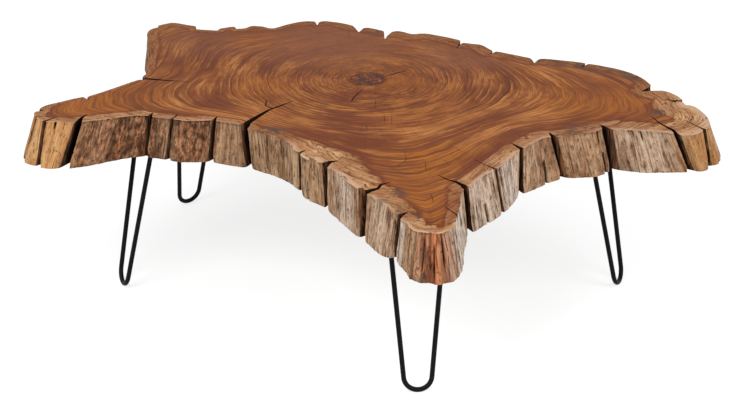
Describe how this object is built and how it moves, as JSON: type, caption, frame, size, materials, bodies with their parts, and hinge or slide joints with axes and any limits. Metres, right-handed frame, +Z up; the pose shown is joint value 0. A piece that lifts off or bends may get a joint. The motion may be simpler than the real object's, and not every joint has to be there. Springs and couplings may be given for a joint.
{
  "type": "live-edge coffee table",
  "caption": "Low table with a lobed live-edge slice of trunk as its top, split by open radial cracks, on splayed black steel hairpin legs screwed to its underside.",
  "frame": {"origin": "on the floor, under the centre of the box round the table", "axes": "+X along the table's length to the right, +Y to the back, +Z up from the floor"},
  "size_m": [1.524, 1.241, 0.435],
  "materials": {
    "slab_wood": "satin-oiled red-brown cross grain on top, weathered grey-tan sapwood and bark on the sides",
    "black_coat": "satin black powder coat on steel",
    "screw_steel": "blackened steel"
  },
  "bodies": {
    "root": {"slab": "slab_wood", "leg_left": "black_coat", "plate_left": "black_coat", "weld_left_1": "black_coat", "weld_left_2": "black_coat", "screw_left_1": "screw_steel", "screw_left_2": "screw_steel", "screw_left_3": "screw_steel", "screw_left_4": "screw_steel", "leg_back": "black_coat", "plate_back": "black_coat", "weld_back_1": "black_coat", "weld_back_2": "black_coat", "screw_back_1": "screw_steel", "screw_back_2": "screw_steel", "screw_back_3": "screw_steel", "screw_back_4": "screw_steel", "leg_front": "black_coat", "plate_front": "black_coat", "weld_front_1": "black_coat", "weld_front_2": "black_coat", "screw_front_1": "screw_steel", "screw_front_2": "screw_steel", "screw_front_3": "screw_steel", "screw_front_4": "screw_steel", "leg_right": "black_coat", "plate_right": "black_coat", "weld_right_1": "black_coat", "weld_right_2": "black_coat", "screw_right_1": "screw_steel", "screw_right_2": "screw_steel", "screw_right_3": "screw_steel", "screw_right_4": "screw_steel"}
  },
  "joints": []
}
